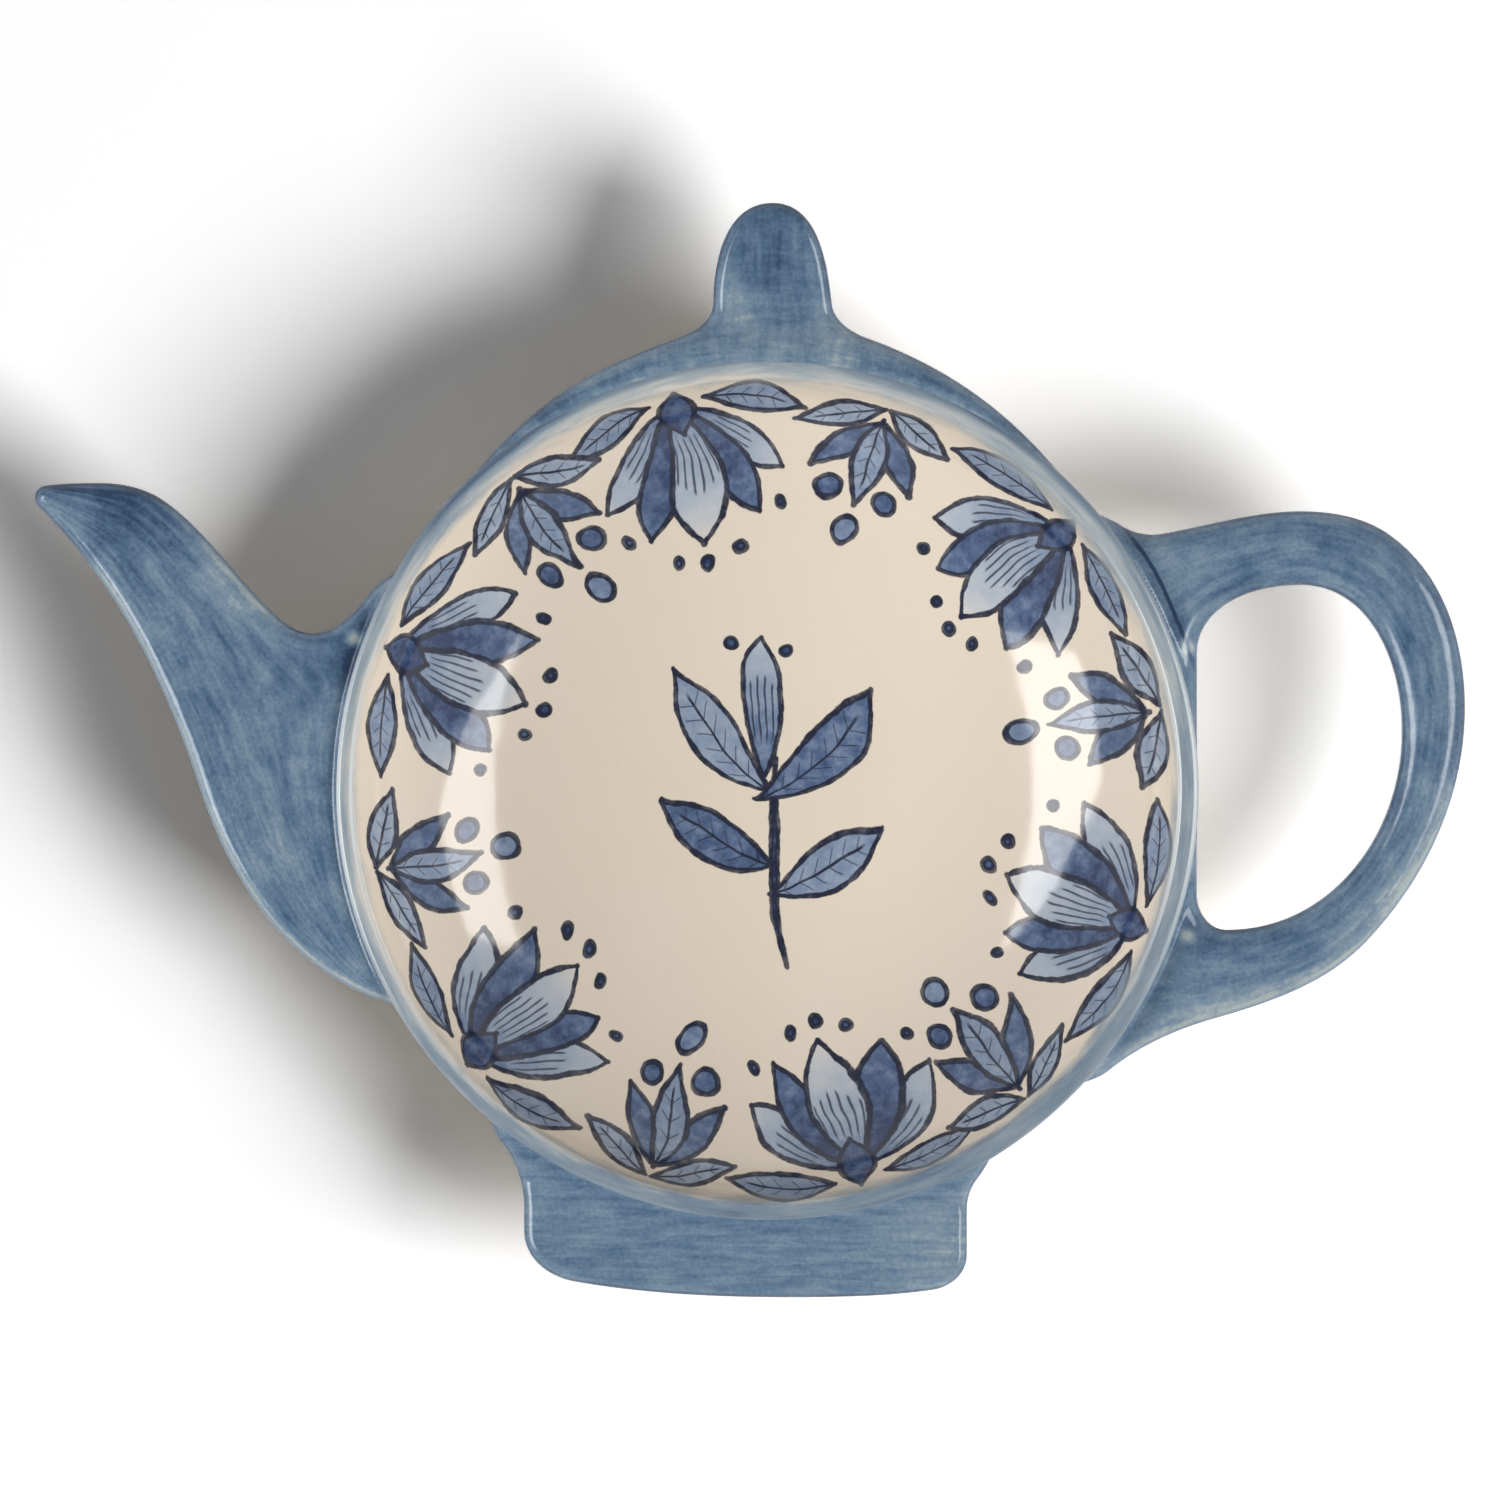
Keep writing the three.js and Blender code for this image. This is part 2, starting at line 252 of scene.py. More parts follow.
def end_distance(xy, edges):
    """Distance of each point to the nearest end of a tab's edges."""
    ends = np.concatenate([edge[[0, -1]] for edge in edges])
    return np.hypot(*(xy[:, None] - ends[None]).transpose(2, 0, 1)).min(1)


def near_edges(points, edges):
    """Distance of each point to the nearest of a tab's edges."""
    return np.min([distance_to(points, edge) for edge in edges], 0)


def tab_loop(edges):
    """Closed outline of a tab: its edges, joined inside the bowl's wall."""
    loop = []
    for i, edge in enumerate(edges):
        loop.append(edge)
        loop.append(root_arc(edge[-1], edges[(i + 1) % len(edges)][0]))
    return np.concatenate(loop)


def tab_points(edges, loop, edge_reach):
    """Points over a tab's face: rows down its rounded edges, an even grid, and rows beside the lip."""
    rows = []
    for share in EDGE_ROWS:
        for edge in edges:
            heading = np.gradient(edge, axis=0)
            heading /= np.hypot(*heading.T)[:, None]
            inward = np.stack([heading[:, 1], -heading[:, 0]], 1)
            row = edge + inward * share * edge_reach
            rows.append(row[near_edges(row, edges) > share * edge_reach * ROW_SLACK])
    low, high = loop.min(0), loop.max(0)
    gx, gy = np.meshgrid(np.arange(low[0], high[0], FACE_STEP), np.arange(low[1], high[1], FACE_STEP))
    gx[::2] += FACE_STEP / 2
    grid = np.stack([gx.ravel(), gy.ravel()], 1)
    grid = grid[np.hypot(*grid.T) > LIP_RADIUS + ROOT_ROWS[-1] + ROW_CLEARANCE]
    rows.append(grid[near_edges(grid, edges) > EDGE_ROWS[-1] * edge_reach + GRID_CLEARANCE])
    turns = np.unwrap(np.arctan2(loop[:, 1], loop[:, 0]))
    for out in ROOT_ROWS:
        radius = LIP_RADIUS + out
        angle = np.arange(turns.min(), turns.max(), ROOT_ROW_STEP / radius)
        row = radius * np.stack([np.cos(angle), np.sin(angle)], 1)
        rows.append(row[near_edges(row, edges) > ROW_CLEARANCE])
    points = np.concatenate(rows)
    return points[np.hypot(*points.T) > ROOT_INSIDE + ROOT_CLEARANCE]


def flat_mesh(loop, points):
    """Upward triangles that fill a loop: the places, the triangles, and the loop's own places in order."""
    inputs = [Vector(p) for p in np.concatenate([loop, points]).tolist()]
    outline = list(range(len(loop)))[::-1]
    flat = delaunay_2d_cdt(inputs, [], [outline], 1, MERGE_DISTANCE, True)
    xy = np.array([tuple(v) for v in flat[0]])
    of_input = {k: i for i, came in enumerate(flat[3]) for k in came}
    rim = [of_input[k] for k in range(len(loop))]
    tris = []
    for a, b, c in (face for face, came in zip(flat[2], flat[5]) if came):
        (ax, ay), (bx, by), (cx, cy) = xy[a], xy[b], xy[c]
        up = (bx - ax) * (cy - ay) - (by - ay) * (cx - ax) > 0
        tris.append((a, b, c) if up else (a, c, b))
    used = sorted({i for t in tris for i in t} | set(rim))
    place = {i: k for k, i in enumerate(used)}
    tris = [tuple(place[i] for i in t) for t in tris]
    return xy[used], tris, [place[i] for i in rim]


def tab_piece(name, node, edges, strokes_of, rise, rise_reach, rise_height, edge_reach, drop):
    """A flat clay tab with rounded edges, and the numbers on it that its paint follows.

    Its face rises to the lip as the rise says, and its underside thins out where it runs into the lip.
    """
    loop = tab_loop(edges)
    xy, tris, rim = flat_mesh(loop, tab_points(edges, loop, edge_reach))
    d = near_edges(xy, edges)
    e = np.hypot(*xy.T) - LIP_RADIUS
    fall = edge_drop(d, edge_reach, drop)
    top = TAB_TOP - fall + rise(e, rise_reach, rise_height)
    under = TAB_UNDER + fall + END_LIFT * (1 - ease(end_distance(xy, edges) / END_RUN))
    n, count = len(xy), len(rim)
    verts = [np.column_stack([xy, top]), np.column_stack([xy, under])]
    faces = list(tris) + [tuple(n + i for i in reversed(t)) for t in tris]

    # Wrap is how far in from the edge a point of the face is, and goes on below zero down the side
    wrap = [d, np.where(d <= ON_EDGE, -(top - under).clip(0), -(TAB_THICKNESS + d))]
    source = [np.arange(n), np.arange(n)]
    ring_rows = [rim]
    for k in range(1, SIDE_ROWS):
        t = k / SIDE_ROWS
        ring_rows.append(list(range(2 * n + (k - 1) * count, 2 * n + k * count)))
        z = top[rim] * (1 - t) + under[rim] * t
        verts.append(np.column_stack([xy[rim], z]))
        wrap.append(z - top[rim])
        source.append(np.array(rim))
    ring_rows.append([n + i for i in rim])
    for upper, lower in zip(ring_rows[:-1], ring_rows[1:]):
        for i in range(count):
            j = (i + 1) % count
            faces.append((upper[i], upper[j], lower[j], lower[i]))
    verts = np.concatenate(verts)
    source = np.concatenate(source)
    piece = new_piece(name, verts, faces, node)
    set_attribute(piece, "wrap", np.concatenate(wrap))
    set_attribute(piece, "root", e[source])
    stroke, tone, groove = strokes_of(xy, d, e)
    set_attribute(piece, "stroke", stroke[source])
    set_attribute(piece, "tone", tone[source])
    set_attribute(piece, "groove", groove[source])
    return piece


# Bowl: turned wall, flat-topped lip with rounded edges, and the well

SLOPE_TRIES = 4
SLOPE_STEPS = 400


def bowl_profile():
    """Section of the bowl from its underside over the lip to the middle of the well."""
    wall = bowl_curve(LIP_RADIUS, WALL_RISE, UNDER_HEIGHT, math.pi / 2, WALL_STEPS)
    inner = LIP_RADIUS - LIP_WIDTH
    well_radius = inner + WELL_RUNOUT
    sweep = math.asin((inner / well_radius) ** (BOWL_FULLNESS / 2))
    share = 1 - math.cos(sweep) ** (2 / BOWL_FULLNESS)
    rise = (LIP_HEIGHT - LIP_ROUND - WELL_FLOOR_HEIGHT) / share
    for _ in range(SLOPE_TRIES):
        near = bowl_curve(well_radius, rise, WELL_FLOOR_HEIGHT, sweep, SLOPE_STEPS)
        slope = math.atan2(near[-1, 1] - near[-2, 1], near[-1, 0] - near[-2, 0])
        rise = (LIP_HEIGHT - LIP_ROUND * (1 - math.cos(slope)) - WELL_FLOOR_HEIGHT) / share
    well = bowl_curve(well_radius, rise, WELL_FLOOR_HEIGHT, sweep, WELL_STEPS)
    round_height = LIP_HEIGHT - LIP_ROUND
    outer_round = arc(LIP_RADIUS - LIP_ROUND, round_height, LIP_ROUND, 0, 90, LIP_ROUND_STEPS)
    centre = inner + LIP_ROUND * math.sin(slope)
    inner_round = arc(centre, round_height, LIP_ROUND, 90, 90 + math.degrees(slope), LIP_ROUND_STEPS)
    heights = np.linspace(LIP_HEIGHT - RIM_BAND, round_height, BAND_STEPS + 1)
    band = np.array([[LIP_RADIUS, z] for z in heights])
    return np.concatenate([wall[:-1], band[:-1], outer_round, inner_round[:-1], well[::-1]])


FLAT_MIDDLE = 0.5


def along_glaze(profile, radius):
    """Length along the glaze from the well's middle, as a share of the plain radius."""
    inside = profile[np.argmax(profile[:, 1]):][::-1]
    length = np.concatenate([[0.0], np.cumsum(np.hypot(*np.diff(inside, axis=0).T))])
    share = np.interp(radius, inside[:, 0], length) / np.maximum(radius, FLAT_MIDDLE)
    return np.where(radius > FLAT_MIDDLE, share, 1.0)


bowl_section = bowl_profile()
bowl_verts, bowl_faces = turned(bowl_section, BOWL_SEGMENTS, False)
bowl = new_piece("bowl_glazed", bowl_verts, bowl_faces, "dish_bowl")
set_attribute(bowl, "along", along_glaze(bowl_section, np.hypot(*np.array(bowl_verts)[:, :2].T)))


def ring_profile():
    """Section of the foot ring, rounded where it stands and flared where it meets the bowl."""
    inner, outer = RING_RADIUS - RING_WIDTH / 2, RING_RADIUS + RING_WIDTH / 2
    foot_out = arc(outer - RING_ROUND, RING_ROUND, RING_ROUND, -90, 0, RING_ROUND_STEPS)
    foot_in = arc(inner + RING_ROUND, RING_ROUND, RING_ROUND, 180, 270, RING_ROUND_STEPS)
    share = (np.array([outer, inner]) / LIP_RADIUS) ** BOWL_FULLNESS
    under = UNDER_HEIGHT + WALL_RISE * (1 - (1 - share) ** (1 / BOWL_FULLNESS))
    up_out = [
        [outer, under[0] - RING_FLARE],
        [outer + FLARE_BULGE, under[0] - FLARE_BELOW],
        [outer + RING_FLARE, under[0] + FLARE_SINK_OUT],
    ]
    up_in = [
        [inner - RING_FLARE, under[1] + FLARE_SINK_IN],
        [inner - FLARE_BULGE, under[1] - FLARE_BELOW],
        [inner, under[1] - RING_FLARE],
    ]
    return np.concatenate([foot_out, up_out, up_in, foot_in])


ring_verts, ring_faces = turned(ring_profile(), RING_SEGMENTS, True)
ring = new_piece("foot_ring_glazed", ring_verts, ring_faces, "foot_ring")


# Brush strokes on the tabs: their run, how dark or pale the wash is, with painted shade, highlights and
# glints among it, and where a groove is painted

GLINT_RADIUS = 0.65
STRAP_MIDDLE = (44.5, 3.5)
STRAP_RADIUS = 16
SPOUT_SEED, HANDLE_SEED, KNOB_SEED, PLINTH_SEED = 3.0, 11.0, 23.0, 37.0


def painted_glint(xy, x, y):
    """A small round painted glint about one place, standing for the gloss on a corner."""
    return np.exp(-((xy[:, 0] - x) ** 2 + (xy[:, 1] - y) ** 2) / GLINT_RADIUS ** 2)


def stroke_run(along, across, seed):
    """Places along and across the strokes, with a seed that tells one tab's strokes from another's."""
    return np.column_stack([along, across, np.full(len(along), seed)])


def spout_strokes(xy, d, e):
    """Strokes up the spout: dark in the mouth and by the lip at its root, with painted shade on the
    mouth's top edge and a painted highlight with worn glaze down the left edge.
    """
    x, y = xy.T
    out = np.clip(e, 0, None)
    left, right = distance_to(xy, spout_left), distance_to(xy, spout_right)
    right_or_lip = 1 / (1 / (right + 0.05) + 1 / (out + 0.3))
    across = 12 * left / (left + right_or_lip)
    along = y * 1.05 - 0.25 * x
    mouth = ease((y - 17) / 8) * np.clip(left / 3, 0.3, 1)
    # Painted shade along the mouth's top edge, where its rounding looks dark
    edge_shade = np.exp(-right / 0.5) * ease((y - 24.5) / 2)
    # Darker by the lip at the root
    root_dark = np.exp(-out / 2.2 - ((y - 12.4) / 2.8) ** 2)
    throat = np.exp(-right / 1.3 - ((y - 19.5) / 5) ** 2) * ease((e - 1) / 4)
    # Paler down the left edge: a painted highlight, and the glaze worn thin there
    wear_and_highlight = np.exp(-((left / 0.45) ** 2)) * ease((23 - y) / 6)
    tone = 0.3 * mouth + 0.5 * edge_shade + 0.52 * root_dark - 0.65 * throat - 0.75 * wear_and_highlight + 0.02
    # Painted glint where the lip's highlight meets the spout's upper root
    tone -= 1.2 * painted_glint(xy, -36.6, 13.4)
    return stroke_run(along, across, SPOUT_SEED), tone, 0 * e


def handle_strokes(xy, d, e):
    """Strokes round the strap: paler along its low edge, with painted light on the bevel by the upper
    root, a groove there, and painted glints at both roots.
    """
    x, y = xy.T
    outer, inner = distance_to(xy, handle_outer), distance_to(xy, handle_hole)
    across = 6 * outer / (outer + inner + ON_EDGE)
    along = STRAP_RADIUS * np.arctan2(y - STRAP_MIDDLE[1], x - STRAP_MIDDLE[0])
    turn = np.degrees(np.arctan2(y, x))
    groove = ease((turn - 15) / 4) * ease((38 - turn) / 4)
    # Painted light on the bevel by the upper root
    lit_facet = np.exp(-((e - 2.8) / 1.0) ** 2) * groove
    low_edge = np.exp(-outer / 1.4) * ease((4 - y) / 8) * ease(e / 3)
    tone = -0.18 * lit_facet - 0.55 * low_edge + 0.06
    # Painted glints where the lip's highlight meets the strap's two roots
    tone -= 0.9 * (painted_glint(xy, 37.3, 12.6) + painted_glint(xy, 37.2, -12.9))
    return stroke_run(along, across, HANDLE_SEED), tone, groove


def knob_strokes(xy, d, e):
    """Strokes up the knob and round its shoulders: dark up the middle and along the lip, with painted
    shade along its edges.
    """
    x, y = xy.T
    stem = np.clip((y - 41) / 4, 0, 1)
    along = stem * y + (1 - stem) * (e + LIP_RADIUS)
    across = stem * x + (1 - stem) * LIP_RADIUS * np.arctan2(x, y)
    middle = 0.38 * np.exp(-((x - 0.6) / 3.2) ** 2) - 0.12
    # Painted shade along the knob's edges
    edge_shade = np.exp(-d / 0.8)
    crease = np.exp(-((e - 0.7) / 0.55) ** 2) * ease((np.abs(x) - 7) / 5)
    tone = middle * stem + 0.36 * edge_shade * (0.4 + 0.6 * stem)
    tone += 0.24 * crease - 0.12 * (1 - stem)
    return stroke_run(along, across, KNOB_SEED), tone, 0 * e


def plinth_strokes(xy, d, e):
    """Level strokes: dark in the crease at the lip, with painted shade along the front edge, paler to the
    right.
    """
    x, y = xy.T
    # The second term is painted shade along the front edge
    crease = np.exp(-((e - 0.6) / 0.7) ** 2) + np.exp(-(y + 45) / 0.5)
    tone = 0.12 * crease - 0.16 * ease((x - 4) / 12)
    return stroke_run(x, y, PLINTH_SEED), tone, 0 * e


# Tabs

TIP_ROUND, TIP_OUT, TIP_RISE = 1.1, 26.8, 25.95
KNOB_X = 0.45


def left_of(out):
    return -LIP_RADIUS - out


def right_of(out):
    return LIP_RADIUS + out


def tip(angle):
    """A knot on the small round of the spout's tip."""
    turn = math.radians(angle)
    x = left_of(TIP_OUT - TIP_ROUND) + TIP_ROUND * math.cos(turn)
    return knot(x, TIP_RISE + TIP_ROUND * math.sin(turn), angle - 90)


spout_left = smooth_edge(
    [on_lip(213.5, 126, END_SINK), on_lip(208.3, 160), knot(left_of(12.1), 0, 108), tip(226), tip(180)]
)
spout_right = smooth_edge(
    [
        tip(180), tip(97),
        knot(left_of(21.1), 27.25, 0), knot(left_of(15.4), 25.7, -35), knot(left_of(6.4), 16.4, -45),
        knot(left_of(2.4), 13.9, -5), on_lip(153, 50), on_lip(145.5, 56, END_SINK),
    ]
)
spout_edge = np.concatenate([spout_left, spout_right[1:]])
spout = tab_piece(
    "spout_glazed", "spout", [spout_edge], spout_strokes,
    rise=cove, rise_reach=0.5, rise_height=0.35, edge_reach=1.3, drop=0.85,
)

handle_outer = smooth_edge(
    [
        on_lip(44.5, -46.5, END_SINK), on_lip(36.8, -33), knot(right_of(-3.2), 22.75, 10),
        knot(right_of(9.1), 24.75, 0), knot(right_of(17.1), 22.6, -36), knot(right_of(23.7), 7.3, -90),
        knot(right_of(14.8), -13.6, -134), knot(right_of(1.4), -20.3, -164),
        on_lip(-39.5, -141), on_lip(-47, -136, END_SINK),
    ]
)
HOLE_LEFT = on_lip(13.6, 0)[0]
handle_hole = smooth_edge(
    [
        knot(HOLE_LEFT, -2.4, -90), on_lip(-13.6, -90), knot(right_of(2.6), -12.4, 0),
        knot(right_of(18.1), 5.2, 90), knot(right_of(9.1), 18.2, 180), knot(HOLE_LEFT, 12, -90),
        on_lip(13.6, -90), knot(HOLE_LEFT, 2.4, -90),
    ]
)
handle = tab_piece(
    "handle_glazed", "handle", [handle_outer, handle_hole], handle_strokes,
    rise=cove, rise_reach=0.5, rise_height=0.3, edge_reach=2.4, drop=1.25,
)

knob_edge = smooth_edge(
    [
        on_lip(138, 56, TAIL_SINK), on_lip(122.4, 41), knot(KNOB_X - 8.5, LIP_RADIUS + 1.85, 20),
        knot(KNOB_X - 5.25, LIP_RADIUS + 5, 90), knot(KNOB_X, LIP_RADIUS + 13.9, 0),
        knot(KNOB_X + 5.25, LIP_RADIUS + 5, -84), knot(KNOB_X + 8.5, LIP_RADIUS + 1.85, -20),
        on_lip(57.6, -41), on_lip(42, -56, TAIL_SINK),
    ]
)
knob = tab_piece(
    "lid_knob_glazed", "lid_knob", [knob_edge], knob_strokes,
    rise=swell, rise_reach=4.5, rise_height=1.05, edge_reach=1.3, drop=0.85,
)

plinth_edge = smooth_edge(
    [
        on_lip(-54.5, -145.5, END_SINK), on_lip(-61.7, -127),
        knot(17.7, -37.2, -90), knot(17.7, -41.25, -90), knot(14.6, -44.35, -172), knot(2, -45, 180),
        knot(-17.1, -43.6, 170), knot(-21.6, -39.1, 90), knot(-21.6, -37.2, 90),
        on_lip(-126.8, 129), on_lip(-134, 137, END_SINK),
    ]
)
plinth = tab_piece(
    "base_plinth_glazed", "base_plinth", [plinth_edge], plinth_strokes,
    rise=swell, rise_reach=2.6, rise_height=0.95, edge_reach=1.1, drop=0.8,
)


# Material helpers

GLAZE_IOR = 1.55


class Nodes:
    """Short calls for building the node tree of a material or of the world."""

    def __init__(self, owner):
        owner.use_nodes = True
        self.tree = owner.node_tree
        self.tree.nodes.clear()

    def add(self, kind, **settings):
        node = self.tree.nodes.new(kind)
        for key, value in settings.items():
            setattr(node, key, value)
        return node

    def put(self, socket, value):
        if isinstance(value, bpy.types.NodeSocket):
            self.tree.links.new(value, socket)
        elif value is not None:
            socket.default_value = value

    def math(self, operation, a, b=None, c=None, clamp=False):
        node = self.add("ShaderNodeMath", operation=operation, use_clamp=clamp)
        for socket, value in zip(node.inputs, (a, b, c)):
            self.put(socket, value)
        return node.outputs[0]

    def vector(self, operation, a, b=None):
        node = self.add("ShaderNodeVectorMath", operation=operation)
        for socket, value in zip(node.inputs, (a, b)):
            self.put(socket, value)
        return node.outputs["Value"] if operation in ("LENGTH", "DOT_PRODUCT") else node.outputs[0]

    def combine(self, x, y, z=0.0):
        node = self.add("ShaderNodeCombineXYZ")
        for socket, value in zip(node.inputs, (x, y, z)):
            self.put(socket, value)
        return node.outputs[0]

    def split(self, vector):
        node = self.add("ShaderNodeSeparateXYZ")
        self.put(node.inputs[0], vector)
        return node.outputs

    def noise(self, vector, scale, detail=3.0, rough=0.55, warp=0.0, output="Fac"):
        node = self.add("ShaderNodeTexNoise")
        self.put(node.inputs["Vector"], vector)
        settings = {"Scale": scale, "Detail": detail, "Roughness": rough, "Distortion": warp}
        for name, value in settings.items():
            self.put(node.inputs[name], value)
        return node.outputs[output]

    def spread(self, value, low, high, to_low=0.0, to_high=1.0, smooth=True):
        """A value between low and high turned to one between two others, and held beyond them."""
        node = self.add("ShaderNodeMapRange", interpolation_type="SMOOTHSTEP" if smooth else "LINEAR")
        for socket, number in zip(node.inputs, (value, low, high, to_low, to_high)):
            self.put(socket, number)
        return node.outputs[0]

    def blend(self, share, a, b):
        """Numbers mixed by a share."""
        node = self.add("ShaderNodeMix", data_type="FLOAT")
        for socket, value in zip((node.inputs[0], node.inputs[2], node.inputs[3]), (share, a, b)):
            self.put(socket, value)
        return node.outputs[0]

    def mix(self, share, a, b):
        """Colours mixed by a share."""
        node = self.add("ShaderNodeMix", data_type="RGBA")
        self.put(node.inputs[0], share)
        self.put(node.inputs[6], a)
        self.put(node.inputs[7], b)
        return node.outputs[2]

    def ramp(self, share, stops):
        node = self.add("ShaderNodeValToRGB")
        elements = node.color_ramp.elements
        while len(elements) < len(stops):
            elements.new(0.5)
        for element, (place, colour) in zip(elements, stops):
            element.position = place
            element.color = colour
        self.put(node.inputs[0], share)
        return node.outputs[0]

    def attribute(self, name, vector=False):
        node = self.add("ShaderNodeAttribute", attribute_name=name)
        return node.outputs["Vector" if vector else "Fac"]

    def place(self):
        """Place on the dish in millimetres about the bowl's axis."""
        node = self.add("ShaderNodeMapping", vector_type="POINT")
        coords = self.add("ShaderNodeTexCoord")
        self.put(node.inputs["Vector"], coords.outputs["Object"])
        node.inputs["Location"].default_value = (-CENTRE[0], -CENTRE[1], 0)
        node.inputs["Scale"].default_value = (1 / MM, 1 / MM, 1 / MM)
        return node.outputs[0]

    def bump(self, height, distance):
        node = self.add("ShaderNodeBump")
        self.put(node.inputs["Height"], height)
        node.inputs["Distance"].default_value = distance
        node.inputs["Strength"].default_value = 1.0
        return node.outputs[0]

    def glaze(self, colour, roughness, normal):
        shader = self.add("ShaderNodeBsdfPrincipled")
        self.put(shader.inputs["Base Color"], colour)
        self.put(shader.inputs["Roughness"], roughness)
        self.put(shader.inputs["Normal"], normal)
        shader.inputs["IOR"].default_value = GLAZE_IOR
        self.put(self.add("ShaderNodeOutputMaterial").inputs[0], shader.outputs[0])


def rgb(red, green, blue):
    """A colour written as it looks on screen, from 0 to 255, turned to linear light."""
    def linear(v):
        v /= 255
        return v / 12.92 if v <= 0.04045 else ((v + 0.055) / 1.055) ** 2.4
    return (linear(red), linear(green), linear(blue), 1.0)


CREAM = rgb(233, 221, 204)
CREAM_WARM = rgb(227, 213, 194)
PALE_BREAK_AND_HIGHLIGHT = rgb(218, 226, 230)
NAVY = rgb(34, 38, 58)
SPECK = rgb(190, 170, 146)
CLAY_DARK = rgb(206, 180, 148)
CLAY_LIGHT = rgb(226, 208, 182)
LIP_STOPS = [
    (0.0, rgb(196, 196, 192)), (0.3, rgb(161, 172, 179)), (0.55, rgb(131, 148, 161)),
    (0.8, rgb(107, 129, 149)), (1.0, rgb(74, 99, 126)),
]
PAINT_STOPS = [
    (0.0, rgb(226, 220, 212)), (0.3, rgb(176, 185, 197)), (0.55, rgb(136, 152, 176)),
    (0.8, rgb(84, 104, 138)), (1.0, rgb(44, 60, 98)),
]
WASH_STOPS = [
    (0.0, rgb(172, 183, 183)), (0.28, rgb(128, 149, 166)), (0.52, rgb(100, 126, 150)),
    (0.76, rgb(72, 99, 128)), (1.0, rgb(44, 67, 97)),
]

# Heights of bump in metres
WASH_RELIEF = 0.00004
WELL_RIPPLE = 0.00005
CLAY_GRAIN = 0.00012


def wash_material(name, cross=False, patchy=1.0):
    """Brushed blue wash under clear glaze, with streaks along the brush strokes stored on the mesh."""
    material = bpy.data.materials.new(name)
    n = Nodes(material)
    along, across, seed = n.split(n.attribute("stroke", True))
    place = n.place()

    def streaks(u, v, stretch, pitch):
        vector = n.combine(n.math("MULTIPLY", u, stretch), n.math("MULTIPLY", v, pitch), seed)
        return n.noise(vector, 1.0, 4.0, 0.6, 0.3)

    fine = streaks(along, across, 0.2, 1.7)
    broad = streaks(along, across, 0.16, 0.55)
    if cross:
        level = n.spread(n.split(place)[1], 41.0, 44.5, 0.85, 0.5)
        fine = n.blend(level, fine, streaks(across, along, 0.26, 1.7))
    blot = n.noise(place, 0.26, 4.0, 0.65)
    depth = n.math("MULTIPLY_ADD", fine, 0.72, -0.36)
    depth = n.math("MULTIPLY_ADD", n.math("SUBTRACT", broad, 0.5), 0.75 * patchy, depth)
    depth = n.math("MULTIPLY_ADD", n.math("SUBTRACT", blot, 0.5), 0.85 * patchy, depth)
    grain = n.math("SUBTRACT", n.noise(place, 2.6, 2.0, 0.6), 0.5)
    depth = n.math("MULTIPLY_ADD", grain, 0.4, depth)
    depth = n.math("ADD", depth, n.attribute("tone"))
    off_groove = n.math("SUBTRACT", n.attribute("root"), 1.45)
    off_groove = n.math("ABSOLUTE", n.math("MULTIPLY_ADD", blot, 0.6, off_groove))
    groove = n.math("MULTIPLY", n.spread(off_groove, 0.24, 0.1), n.attribute("groove"))
    depth = n.math("MULTIPLY_ADD", groove, 0.6, depth)
    depth = n.math("ADD", depth, 0.5, clamp=True)
    wrap = n.attribute("wrap")
    ragged = n.math("MULTIPLY_ADD", n.noise(place, 0.5, 4.0, 0.65), 1.8, wrap)
    thin = n.spread(ragged, 0.9, 1.7, 0.12, 0.0)
    depth = n.math("SUBTRACT", depth, n.math("MULTIPLY", thin, n.spread(wrap, -0.3, 0.15)), clamp=True)
    # Painted shade along the rounded edges of every tab, darkest at the outline
    depth = n.math("ADD", depth, n.spread(wrap, 0.38, 0.08, 0.0, 0.36), clamp=True)
    colour = n.ramp(depth, WASH_STOPS)
    round_side = n.noise(n.vector("MULTIPLY", place, (0.3, 0.3, 1.1)), 1.0, 4.0, 0.6)
    side_depth = n.math("MULTIPLY_ADD", grain, 0.4, 0.02)
    side_depth = n.math("MULTIPLY_ADD", round_side, 1.1, side_depth, clamp=True)
    colour = n.mix(n.spread(wrap, 0.1, -0.3), colour, n.ramp(side_depth, WASH_STOPS))
    under = n.spread(n.math("MULTIPLY_ADD", blot, 1.4, wrap), -4.4, -5.4)
    colour = n.mix(under, colour, CREAM_WARM)
    relief = n.math("MULTIPLY_ADD", fine, 0.35, n.noise(place, 0.35, 2.0, 0.5))
    rough = n.spread(fine, 0.3, 0.7, 0.12, 0.18)
    n.glaze(colour, rough, n.bump(relief, WASH_RELIEF))
    return material


# Painted border and sprig in the well: plain leaves, petals and berries, drawn as outlined washes

INK_WIDTH = 0.21


